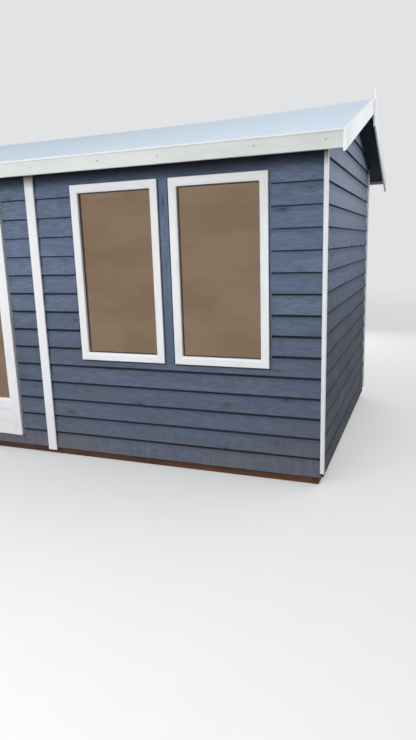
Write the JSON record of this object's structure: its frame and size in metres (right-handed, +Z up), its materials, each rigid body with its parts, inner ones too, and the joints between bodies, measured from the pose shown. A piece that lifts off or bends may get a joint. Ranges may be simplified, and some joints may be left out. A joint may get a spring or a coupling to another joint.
{
  "type": "garden room",
  "caption": "Timber garden office with an apex roof, lapped boarding, framed windows and glazed double doors.",
  "frame": {"origin": "centre of the plan on the ground, under the floor timbers", "axes": "+X right along the ridge, -Y towards the door front, +Z up"},
  "size_m": [6.188, 2.752, 2.4704],
  "materials": {
    "blue_painted_timber": "brushed slate-blue shed paint on sawn boards",
    "white_painted_timber": "brushed white satin paint on planed timber",
    "bare_timber": "planed softwood, bare",
    "treated_timber": "brown pressure-treated sawn timber",
    "roofing_felt": "pale smooth roof covering",
    "clear_glass": "clear float glass",
    "satin_steel": "satin"
  },
  "bodies": {
    "root": {"floor_bearers": "treated_timber", "floor_deck": "bare_timber", "front_boards_left": "blue_painted_timber", "front_boards_right": "blue_painted_timber", "door_side_boards": "blue_painted_timber", "door_head_boards": "blue_painted_timber", "door_sill_board": "blue_painted_timber", "rear_boards": "blue_painted_timber", "gable_boards_left": "blue_painted_timber", "gable_boards_right": "blue_painted_timber", "front_frame_left": "bare_timber", "front_frame_right": "bare_timber", "door_frame": "bare_timber", "rear_frame": "bare_timber", "gable_frame_left": "bare_timber", "gable_frame_right": "bare_timber", "cover_strips": "white_painted_timber", "corner_battens": "white_painted_timber", "window_mullions": "blue_painted_timber", "window_frames_left": "white_painted_timber", "window_frames_right": "white_painted_timber", "window_glass_left": "clear_glass", "window_glass_right": "clear_glass", "hinge_plates": "satin_steel", "ridge_beam": "bare_timber", "purlins": "bare_timber", "roof_trusses": "bare_timber", "roof_boards_front": "bare_timber", "roof_boards_rear": "bare_timber", "roof_felt_front": "roofing_felt", "roof_felt_rear": "roofing_felt", "fascia_front": "white_painted_timber", "fascia_rear": "white_painted_timber", "bargeboards_left": "white_painted_timber", "bargeboards_right": "white_painted_timber", "finials": "white_painted_timber"},
    "door_left": {"door_leaf_left": "white_painted_timber", "door_panel_left": "white_painted_timber", "door_glass_left": "clear_glass", "hinges_left": "satin_steel"},
    "door_right": {"door_leaf_right": "white_painted_timber", "door_panel_right": "white_painted_timber", "door_glass_right": "clear_glass", "hinges_right": "satin_steel", "door_handle": "satin_steel"}
  },
  "joints": [
    {"name": "left_door_hinge", "type": "hinge", "parent": "root", "child": "door_left", "pos_m": [-0.71975, -1.1245, 1], "axis": [0, 0, -1], "range_deg": [0, 165]},
    {"name": "right_door_hinge", "type": "hinge", "parent": "root", "child": "door_right", "pos_m": [0.71975, -1.1245, 1], "axis": [0, 0, 1], "range_deg": [0, 165]}
  ]
}
